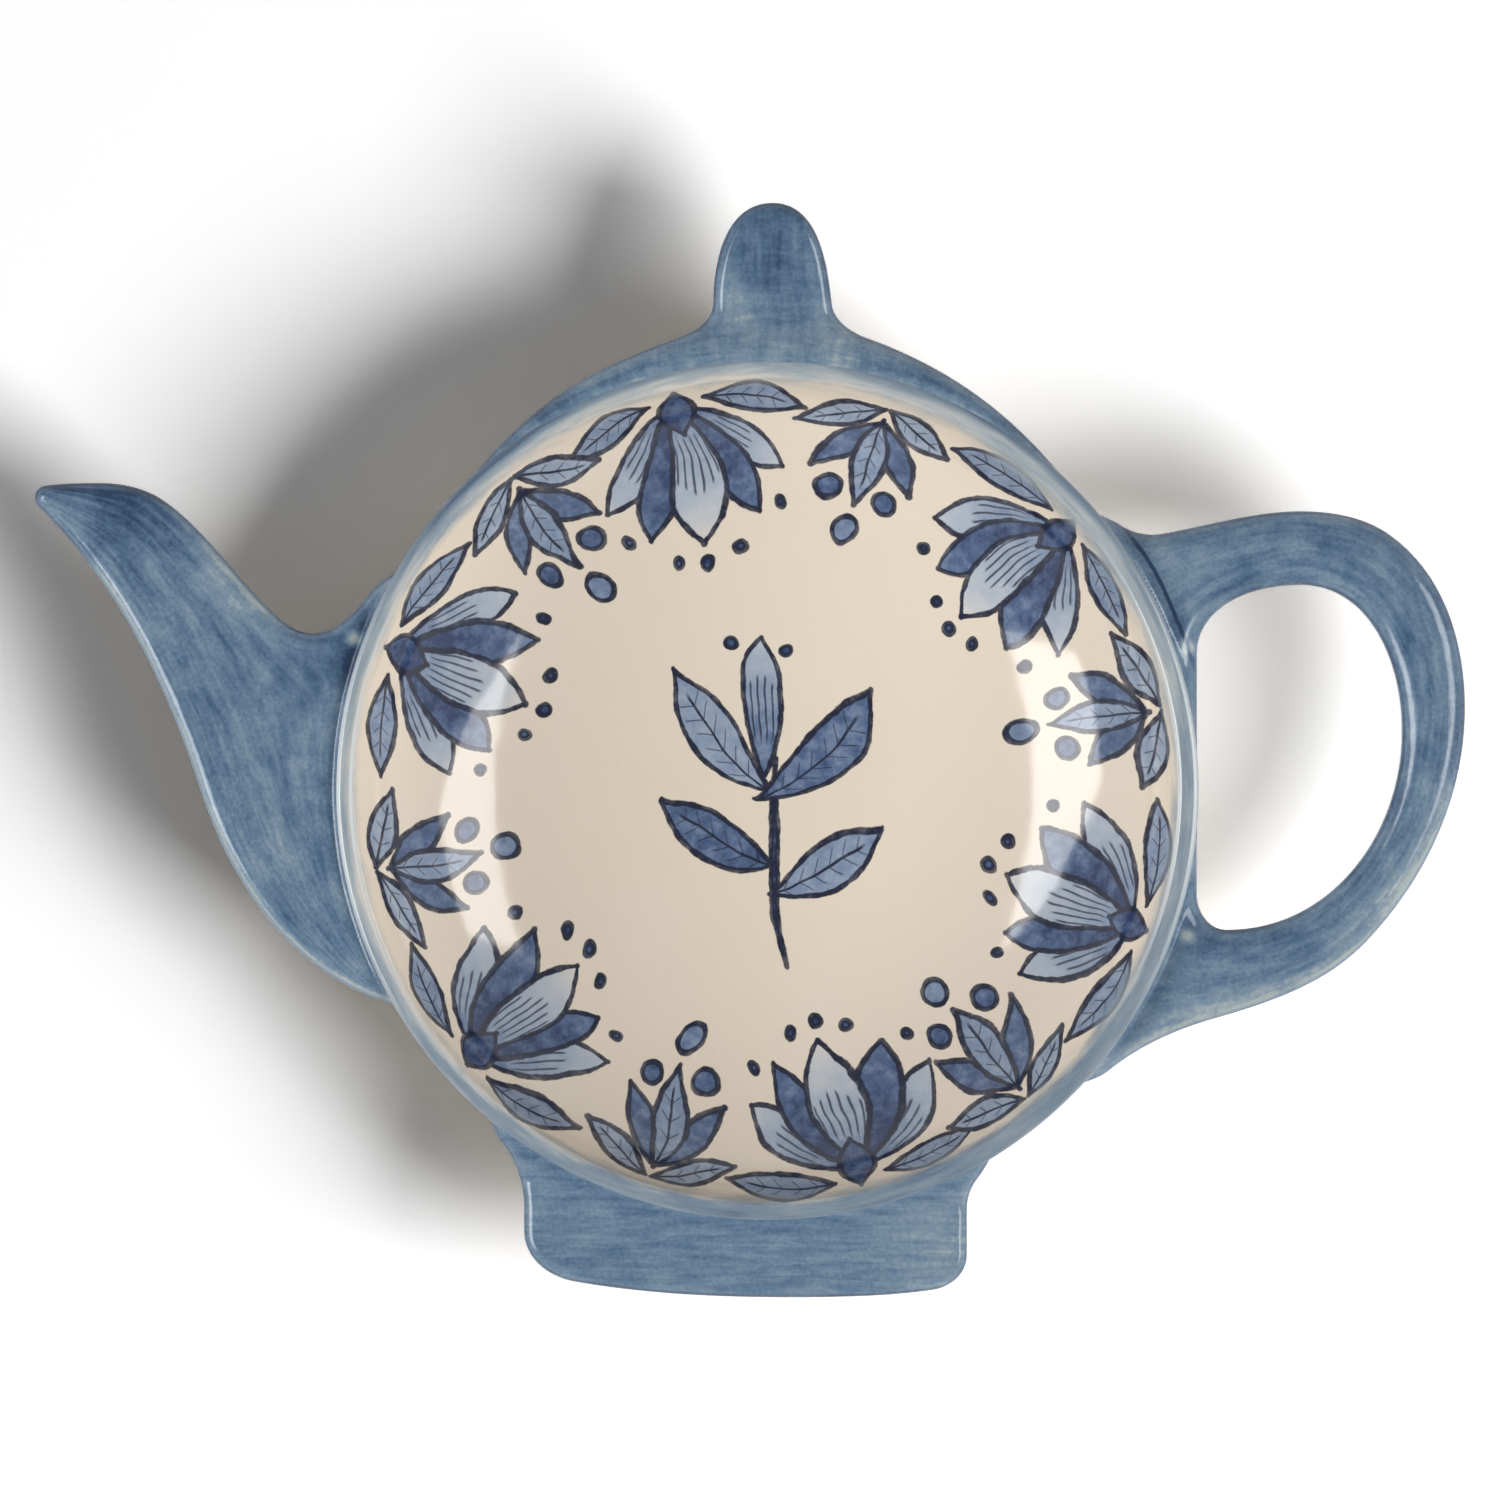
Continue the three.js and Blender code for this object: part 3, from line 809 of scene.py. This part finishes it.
class Painting:
    """Shapes painted one over another: ink for their outlines, and depth for how dark their wash is."""

    def __init__(self, nodes, pressure):
        self.n = nodes
        self.pressure = pressure
        self.ink = 0.0
        self.depth = 0.0

    def local(self, place, x, y, angle, bend=0.0):
        """Place measured along and across a shape that stands at x, y and points along the angle."""
        node = self.n.add("ShaderNodeMapping", vector_type="TEXTURE")
        self.n.put(node.inputs["Vector"], place)
        node.inputs["Location"].default_value = (x, y, 0)
        node.inputs["Rotation"].default_value = (0, 0, math.radians(angle))
        if not bend:
            return node.outputs[0]
        u, v, _ = self.n.split(node.outputs[0])
        return self.n.combine(u, self.n.math("MULTIPLY_ADD", self.n.math("MULTIPLY", u, u), bend, v))

    def shape_distance(self, u, v, half, profile):
        """Rough distance to a shape's edge, below zero inside. The profile is its half width along it."""
        n = self.n
        across = n.math("SUBTRACT", n.math("ABSOLUTE", v), profile)
        beyond = n.math("SUBTRACT", n.math("ABSOLUTE", u), half)
        within = n.math("MINIMUM", n.math("MAXIMUM", across, beyond), 0.0)
        outside = n.vector("LENGTH", n.vector("MAXIMUM", n.combine(across, beyond), (0, 0, 0)))
        return n.math("MULTIPLY", n.math("ADD", within, outside), 0.85)

    def leaf_profile(self, u, half, width):
        """Widest at the middle and drawn out to a point at both ends."""
        n = self.n
        t = n.math("DIVIDE", u, half)
        left = n.math("SUBTRACT", 1.0, n.math("MULTIPLY", t, t), clamp=True)
        return n.math("MULTIPLY", n.math("POWER", left, 1.25), width)

    def petal_profile(self, u, half, width):
        """Slim at the foot, widest past the middle and pointed at the end."""
        n = self.n
        t = n.math("MULTIPLY_ADD", u, 0.5 / half, 0.5, clamp=True)
        fall = n.math("SUBTRACT", 1.0, n.math("POWER", t, 3.0))
        return n.math("MULTIPLY", n.math("MULTIPLY", n.math("POWER", t, 0.75), fall), 1.87 * width)

    def lay(self, distance, depth):
        """Paints one shape over what is there, and gives the share of each place that is inside it."""
        n = self.n
        inside = n.spread(distance, 0.05, -0.05)
        off_line = n.math("ADD", n.math("ABSOLUTE", distance), self.pressure)
        edge = n.spread(off_line, INK_WIDTH + 0.06, INK_WIDTH - 0.05)
        kept = n.math("MULTIPLY", self.ink, n.math("SUBTRACT", 1.0, inside))
        self.ink = n.math("MAXIMUM", kept, edge)
        self.depth = n.blend(inside, self.depth, depth)
        return inside

    def strokes(self, inside, mask_value):
        """Adds fine ink lines inside the last shape."""
        n = self.n
        self.ink = n.math("MAXIMUM", self.ink, n.math("MULTIPLY", inside, mask_value))

    def leaf(self, place, x, y, angle, half, width, depth, bend=0.0, veins=False):
        """A leaf of a half length and half width about x, y, pointing along the angle."""
        n = self.n
        u, v, _ = n.split(self.local(place, x, y, angle, bend))
        inside = self.lay(self.shape_distance(u, v, half, self.leaf_profile(u, half, width)), depth)
        if veins:
            across = n.math("ABSOLUTE", v)
            rib = n.spread(across, 0.16, 0.07)
            slant = n.math("PINGPONG", n.math("SUBTRACT", u, n.math("MULTIPLY", across, 0.9)), 0.75)
            vein = n.spread(slant, 0.12, 0.05)
            vein = n.math("MULTIPLY", vein, n.spread(across, width * 0.62, width * 0.5))
            reach = n.spread(u, half * 0.72, half * 0.55)
            lines = n.math("MAXIMUM", rib, n.math("MULTIPLY", vein, 0.7))
            self.strokes(inside, n.math("MULTIPLY", lines, reach))

    def petal(self, place, x, y, angle, half, width, depth, tip_depth, streaked):
        """A petal placed as a leaf is, with a wash that changes towards its tip."""
        n = self.n
        u, v, _ = n.split(self.local(place, x, y, angle))
        shade = n.spread(u, -half * 0.6, half * 0.9, depth, tip_depth, False)
        inside = self.lay(self.shape_distance(u, v, half, self.petal_profile(u, half, width)), shade)
        if streaked:
            fan = n.math("DIVIDE", v, n.math("MULTIPLY_ADD", u, 0.4 / half, 1.0))
            lines = n.spread(n.math("PINGPONG", n.math("ADD", fan, 0.33), 0.33), 0.13, 0.06)
            end = n.math("MULTIPLY_ADD", n.math("ABSOLUTE", v), -0.9, half * 0.42)
            reach = n.spread(n.math("SUBTRACT", u, end), 0.2, -0.3)
            reach = n.math("MULTIPLY", reach, n.spread(u, -half * 0.6, -half * 0.4))
            self.strokes(inside, n.math("MULTIPLY", n.math("MULTIPLY", lines, reach), 0.85))

    def berry(self, place, x, y, radius, depth):
        n = self.n
        centred = self.local(place, x, y, 0)
        self.lay(n.math("SUBTRACT", n.vector("LENGTH", centred), radius), depth)


BORDER_REPEATS = 6
BORDER_FOOT = 39.3
BORDER_WIDER = 1.07
BORDER_LONGER = 1.19
BORDER_TURN = 0.32
BORDER_SWAY = 0.035
SWAY_START = 1.3


def border_place(n, x, y, half_step):
    """Place in one repeat of the border: across from its middle line, and inwards from the lip."""
    step = 2 * math.pi / BORDER_REPEATS
    angle = n.math("ADD", n.math("ARCTAN2", y, x), BORDER_TURN + (step / 2 if half_step else 0.0))
    cell = n.math("ROUND", n.math("DIVIDE", angle, step))
    turn = n.math("SUBTRACT", angle, n.math("MULTIPLY", cell, step))
    sway = n.math("SINE", n.math("MULTIPLY_ADD", cell, 2 * step, SWAY_START))
    turn = n.math("ADD", turn, n.math("MULTIPLY", sway, BORDER_SWAY))
    r = n.vector("LENGTH", n.combine(x, y))
    across = n.math("MULTIPLY", n.math("SINE", turn), r)
    inward = n.math("SUBTRACT", BORDER_FOOT, n.math("MULTIPLY", n.math("COSINE", turn), r))
    across = n.math("DIVIDE", n.math("ABSOLUTE", across), BORDER_WIDER)
    return n.combine(across, n.math("DIVIDE", inward, BORDER_LONGER))


def paint_border(painting, blossom, spray):
    """One blossom and one leaf spray, each drawn on one side and mirrored."""
    painting.leaf(blossom, 6.9, 1.9, 17, 4.7, 1.6, 0.6, -0.02, True)
    painting.petal(blossom, 4.4, 5.9, 48, 5.0, 1.75, 0.7, 0.25, True)
    painting.petal(blossom, 2.6, 7.4, 69, 5.3, 1.85, 1.05, 0.8, False)
    painting.petal(blossom, 0, 7.9, 90, 5.7, 2.2, 0.6, 0.14, True)
    painting.leaf(blossom, 0, 2.3, 90, 2.5, 1.5, 1.0)
    painting.berry(blossom, 0, 15.1, 0.42, 1.0)
    painting.berry(blossom, 2.4, 14.4, 0.36, 1.0)
    painting.berry(blossom, 6.5, 12.2, 0.36, 1.0)
    painting.leaf(spray, 3.5, 2.2, 28, 3.7, 1.3, 0.5, 0.0, True)
    painting.leaf(spray, 2.3, 5.3, 58, 3.7, 1.25, 0.85)
    painting.leaf(spray, 0, 6.3, 90, 4.6, 1.5, 0.6, 0.0, True)
    painting.berry(spray, 2.5, 9.9, 0.95, 0.9)
    painting.berry(spray, 0, 12.9, 1.05, 0.7)


def paint_sprig(painting, place):
    """Two pairs of leaves and a bud on one stem."""
    painting.leaf(place, 0.6, -6.5, 92, 10.0, 0.32, 1.0, 0.006)
    painting.leaf(place, -5.2, -4.6, 152, 6.0, 2.0, 0.85, 0.03, True)
    painting.leaf(place, 5.9, -7.0, 28, 5.9, 1.9, 0.6, -0.03, True)
    painting.leaf(place, -5.0, 4.6, 130, 6.8, 2.35, 0.55, 0.03, True)
    painting.leaf(place, 5.2, 3.0, 42, 7.0, 2.35, 0.8, -0.03, True)
    painting.petal(place, 0.0, 8.0, 88, 6.2, 1.8, 0.8, 0.3, True)
    painting.berry(place, -2.6, 13.4, 0.55, 1.0)
    painting.berry(place, 2.5, 13.0, 0.5, 1.0)


LIP_INNER = LIP_RADIUS - LIP_WIDTH
LIP_OUTER = LIP_RADIUS - 0.2
WASH_DARKEST = math.radians(-70)
WASH_PATCH = math.radians(62)


def lip_wash(n, r, angle):
    """Share and colour of the blue wash round the lip: darkest at the front and in the upper corners."""
    around = n.combine(
        n.math("MULTIPLY", n.math("SINE", angle), 6.0),
        n.math("MULTIPLY", n.math("COSINE", angle), 6.0),
        n.math("MULTIPLY", r, 1.3),
    )
    streak = n.math("SUBTRACT", n.noise(around, 1.0, 4.0, 0.6, 0.2), 0.5)
    rise = n.math("SINE", angle)
    side = n.math("COSINE", angle)
    above = n.math("MAXIMUM", rise, 0.0)
    below = n.math("MAXIMUM", n.math("MULTIPLY", rise, -1.0), 0.0)
    left = n.math("MAXIMUM", n.math("MULTIPLY", side, -1.0), 0.0)
    low = n.math("MAXIMUM", n.math("COSINE", n.math("SUBTRACT", angle, WASH_DARKEST)), 0.0)
    patch = n.math("COSINE", n.math("MULTIPLY", n.math("SUBTRACT", angle, WASH_PATCH), 3.0))
    top = n.math("POWER", above, 3.0)
    corner = n.math("SINE", n.math("MULTIPLY", angle, 2.0))
    corner = n.math("MULTIPLY", corner, corner)
    corner = n.math("MULTIPLY", corner, n.math("MULTIPLY", above, 1.4, clamp=True))

    # The wash starts further out on the left, and runs into the well at the front and in the upper corners
    start = n.math("MULTIPLY_ADD", side, -0.35, LIP_INNER)
    start = n.math("MULTIPLY_ADD", below, -0.15, start)
    start = n.math("MULTIPLY_ADD", corner, -0.3, start)
    ragged = n.math("MULTIPLY_ADD", streak, 1.6, n.math("SUBTRACT", r, start))
    share = n.math("MULTIPLY", n.spread(ragged, -0.75, 0.75), 0.96)
    depth = n.math("MULTIPLY_ADD", top, n.spread(r, LIP_INNER + 0.4, LIP_RADIUS, -0.16, 0.2), 0.35)
    depth = n.math("MULTIPLY_ADD", n.math("POWER", low, 2.0), 0.42, depth)
    depth = n.math("MULTIPLY_ADD", patch, n.math("MULTIPLY_ADD", above, 0.07, -0.1), depth)
    depth = n.math("MULTIPLY_ADD", corner, n.spread(r, LIP_OUTER - 0.8, LIP_OUTER - 0.1, 0.0, 0.5), depth)
    depth = n.math("MULTIPLY_ADD", left, n.spread(r, LIP_OUTER - 0.9, LIP_OUTER - 0.3, -0.08, 0.1), depth)
    depth = n.math("MULTIPLY_ADD", streak, 1.1, depth)
    tint = n.ramp(n.math("MAXIMUM", depth, 0.0, clamp=True), LIP_STOPS)

    # Painted highlight lines along both edges of the lip at the sides of the dish, where the glaze also
    # breaks pale
    level = n.math("ABSOLUTE", side)
    outer = n.math("SUBTRACT", r, n.math("MULTIPLY_ADD", side, -0.07, LIP_OUTER))
    outer = n.spread(n.math("ABSOLUTE", outer), 0.26, 0.1)
    outer = n.math("MULTIPLY", outer, n.math("POWER", level, 16.0))
    inner = n.math("SUBTRACT", r, n.math("MULTIPLY_ADD", side, -0.2, LIP_INNER + 0.3))
    inner = n.spread(n.math("ABSOLUTE", inner), 0.22, 0.08)
    inner = n.math("MULTIPLY", inner, n.math("POWER", level, 10.0))
    break_and_highlight = n.math("MAXIMUM", outer, inner)
    break_and_highlight = n.math("MULTIPLY", break_and_highlight, n.spread(streak, -0.3, 0.0, 0.5, 0.95))
    return n.math("MAXIMUM", share, break_and_highlight), n.mix(break_and_highlight, tint, PALE_BREAK_AND_HIGHLIGHT)


def cream_body(n, place):
    """Colour of the cream glaze with its specks, and the specks alone."""
    body = n.mix(n.noise(place, 0.07, 3.0, 0.5), CREAM_WARM, CREAM)
    speck = n.noise(place, 2.2, 2.0, 0.6)
    return n.mix(n.spread(speck, 0.66, 0.8, 0.0, 0.2), body, SPECK), speck


def well_material():
    """The well: cream glaze, painted border and sprig, and the wash that comes over the lip."""
    material = bpy.data.materials.new("well_painted")
    n = Nodes(material)
    place = n.place()
    body, speck = cream_body(n, place)
    wobble = n.vector("SUBTRACT", n.noise(place, 0.11, 0.0, 0.5, output="Color"), (0.5, 0.5, 0.5))
    shaky = n.vector("SUBTRACT", n.noise(place, 0.5, 0.0, 0.5, output="Color"), (0.5, 0.5, 0.5))
    along = n.attribute("along")
    unrolled = n.vector("MULTIPLY", place, n.combine(along, along))
    drawn = n.vector("ADD", unrolled, n.vector("MULTIPLY", wobble, (2.6, 2.6, 0)))
    drawn = n.vector("ADD", drawn, n.vector("MULTIPLY", shaky, (0.3, 0.3, 0)))
    x, y, _ = n.split(drawn)
    pressure = n.math("MULTIPLY_ADD", n.noise(place, 0.9, 2.0, 0.5), 0.3, -0.16)
    painting = Painting(n, pressure)
    paint_border(painting, border_place(n, x, y, False), border_place(n, x, y, True))
    paint_sprig(painting, n.combine(x, y))
    cloud = n.noise(place, 0.7, 4.0, 0.65)
    depth = n.math("MULTIPLY", painting.depth, n.spread(cloud, 0.2, 0.8, 0.66, 1.22, False), clamp=True)
    colour = n.mix(n.spread(painting.depth, 0.03, 0.2), body, n.ramp(depth, PAINT_STOPS))
    ink_share = n.math("MULTIPLY", painting.ink, n.spread(cloud, 0.25, 0.6, 0.82, 1.0))
    colour = n.mix(ink_share, colour, NAVY)
    px, py, _ = n.split(place)
    r = n.vector("LENGTH", n.combine(px, py))
    share, tint = lip_wash(n, r, n.math("ARCTAN2", py, px))
    colour = n.mix(share, colour, tint)
    ripple = n.noise(place, 0.16, 2.0, 0.5)
    n.glaze(colour, n.spread(speck, 0.2, 0.8, 0.07, 0.11), n.bump(ripple, WELL_RIPPLE))
    return material


def outside_material():
    """Outside of the bowl: cream glaze with the blue wash coming down from the lip."""
    material = bpy.data.materials.new("bowl_outside")
    n = Nodes(material)
    place = n.place()
    body, speck = cream_body(n, place)
    z = n.split(place)[2]
    around = n.vector("MULTIPLY", place, (0.35, 0.35, 1.6))
    streak = n.noise(around, 1.0, 4.0, 0.6)
    edge = n.math("MULTIPLY_ADD", n.noise(place, 0.3, 4.0, 0.6), 3.0, z)
    share = n.spread(edge, 14.2, 15.4)
    colour = n.mix(share, body, n.ramp(streak, WASH_STOPS))
    ripple = n.noise(place, 0.16, 2.0, 0.5)
    n.glaze(colour, n.spread(speck, 0.2, 0.8, 0.09, 0.13), n.bump(ripple, WELL_RIPPLE))
    return material


def ring_material():
    """Cream glaze wiped off the bare clay where the ring stands on the table."""
    material = bpy.data.materials.new("ring_glaze")
    n = Nodes(material)
    place = n.place()
    z = n.split(place)[2]
    grain = n.noise(place, 3.5, 4.0, 0.7)
    edge = n.math("MULTIPLY_ADD", n.noise(place, 0.5, 3.0, 0.6), 0.7, z)
    bare = n.spread(edge, 1.05, 0.75)
    clay = n.mix(grain, CLAY_DARK, CLAY_LIGHT)
    body = n.mix(n.noise(place, 0.1, 3.0, 0.5), CREAM_WARM, CREAM)
    colour = n.mix(bare, body, clay)
    rough = n.math("MULTIPLY_ADD", bare, 0.6, 0.12)
    n.glaze(colour, rough, n.bump(n.math("MULTIPLY", grain, bare), CLAY_GRAIN))
    return material


OUTSIDE_SLOPE = 0.05
bowl.data.materials.append(well_material())
bowl.data.materials.append(outside_material())
for polygon in bowl.data.polygons:
    polygon.material_index = 1 if polygon.normal.z < OUTSIDE_SLOPE else 0
ring.data.materials.append(ring_material())
plain_wash = wash_material("blue_wash")
spout.data.materials.append(plain_wash)
handle.data.materials.append(plain_wash)
plinth.data.materials.append(wash_material("blue_wash_even", patchy=0.45))
knob.data.materials.append(wash_material("blue_wash_crossed", cross=True))


# Floor, light and camera

FLOOR_HALF = 8.0
FLOOR_LEVEL = -0.00002
FLOOR_BOUNCE = 0.66
FLOOR_SHOWN = (1.67, 1.71)
CARD_DISTANCE = 1.0
SKY_LIGHT = 0.12
SKY_LOW, SKY_HIGH = 1.0, 0.22
SENSOR = 36
PHOTO_SPAN = 0.13303
CAMERA_HEIGHT = 1.2
FOCUS_HEIGHT = 0.016


def grey(level):
    return (level, level, level, 1)


def seen_directly(n):
    """One for what the camera sees directly, mirrored or through glass."""
    path = n.add("ShaderNodeLightPath").outputs
    seen = n.math("MAXIMUM", path["Is Camera Ray"], path["Is Glossy Ray"])
    return n.math("MAXIMUM", seen, path["Is Transmission Ray"])


def stage_mesh(name, corners, material):
    mesh = bpy.data.meshes.new(name)
    mesh.from_pydata(corners, [], [tuple(range(len(corners)))])
    mesh.materials.append(material)
    obj = bpy.data.objects.new(name, mesh)
    bpy.context.scene.collection.objects.link(obj)
    return obj


def floor_material():
    """White where it is seen, and plain pale grey for the light that it throws back at the dish."""
    material = bpy.data.materials.new("floor_white")
    n = Nodes(material)
    grain = n.noise(n.place(), 0.01, 2.0, 0.5)
    shown = n.mix(grain, grey(FLOOR_SHOWN[0]), grey(FLOOR_SHOWN[1]))
    shader = n.add("ShaderNodeBsdfDiffuse")
    n.put(shader.inputs[0], n.mix(seen_directly(n), grey(FLOOR_BOUNCE), shown))
    n.put(n.add("ShaderNodeOutputMaterial").inputs[0], shader.outputs[0])
    return material


floor_corners = [(x * FLOOR_HALF, y * FLOOR_HALF) for x, y in ((-1, -1), (1, -1), (1, 1), (-1, 1))]
floor = stage_mesh("floor", [(x, y, FLOOR_LEVEL) for x, y in floor_corners], floor_material())


def aim(obj, azimuth, elevation, distance):
    """Stands an object off from the dish and turns its local +Z away from it. Azimuth runs from +X."""
    a, e = math.radians(azimuth), math.radians(elevation)
    back = Vector((math.cos(a) * math.cos(e), math.sin(a) * math.cos(e), math.sin(e)))
    obj.location = back * distance
    obj.rotation_mode = "QUATERNION"
    obj.rotation_quaternion = back.to_track_quat("Z", "Y")
    obj.visible_camera = False


def lamp(name, azimuth, elevation, distance, size, power):
    """A soft square lamp for the shade and shadow; the cards below give the gloss."""
    light = bpy.data.lights.new(name, "AREA")
    light.shape = "SQUARE"
    light.size = size
    light.energy = power
    obj = bpy.data.objects.new(name, light)
    bpy.context.scene.collection.objects.link(obj)
    aim(obj, azimuth, elevation, distance)
    obj.visible_glossy = False
    return obj


def card(name, azimuth, elevation, corners, strength):
    """A bright card that is seen only in the glaze. Corners are across and up on the card, in metres."""
    material = bpy.data.materials.new(name)
    n = Nodes(material)
    shader = n.add("ShaderNodeEmission")
    shader.inputs["Strength"].default_value = strength
    n.put(n.add("ShaderNodeOutputMaterial").inputs[0], shader.outputs[0])
    obj = stage_mesh(name, [(x, y, 0) for x, y in corners], material)
    aim(obj, azimuth, elevation, CARD_DISTANCE)
    obj.visible_diffuse = False
    obj.visible_shadow = False


lamp("key", azimuth=-25, elevation=40, distance=2.4, size=1.2, power=48.0)
fill = lamp("fill", azimuth=176, elevation=26, distance=2.4, size=1.0, power=46.0)
card(
    "card_right", azimuth=0, elevation=44,
    corners=[(-0.40, 0.15), (0.40, 0.15), (0.40, -0.16), (0.02, -0.16)], strength=6.3,
)
card(
    "card_left", azimuth=180, elevation=44,
    corners=[(-0.40, 0.19), (0.40, 0.19), (0.38, -0.2), (0.05, -0.21)], strength=7.4,
)

# The fill lights the dish alone, so that the floor keeps one plain shadow
unfilled = bpy.data.collections.new("unfilled")
unfilled.objects.link(floor)
unfilled.collection_objects[0].light_linking.link_state = "EXCLUDE"
fill.light_linking.receiver_collection = unfilled

world = bpy.data.worlds.new("studio")
bpy.context.scene.world = world
n = Nodes(world)
height = n.split(n.add("ShaderNodeTexCoord").outputs["Generated"])[2]
shown = n.spread(height, 0.05, 0.9, SKY_LOW, SKY_HIGH)
background = n.add("ShaderNodeBackground")
n.put(background.inputs["Strength"], n.blend(seen_directly(n), SKY_LIGHT, shown))
background.inputs["Color"].default_value = grey(1)
n.put(n.add("ShaderNodeOutputWorld").inputs[0], background.outputs[0])

camera = bpy.data.objects.new("camera", bpy.data.cameras.new("camera"))
bpy.context.scene.collection.objects.link(camera)
camera.location = (0, 0, CAMERA_HEIGHT)
camera.data.sensor_width = SENSOR
camera.data.lens = SENSOR * (CAMERA_HEIGHT - FOCUS_HEIGHT) / PHOTO_SPAN
camera.data.dof.use_dof = False
bpy.context.scene.camera = camera
bpy.context.scene.view_settings.view_transform = "Standard"
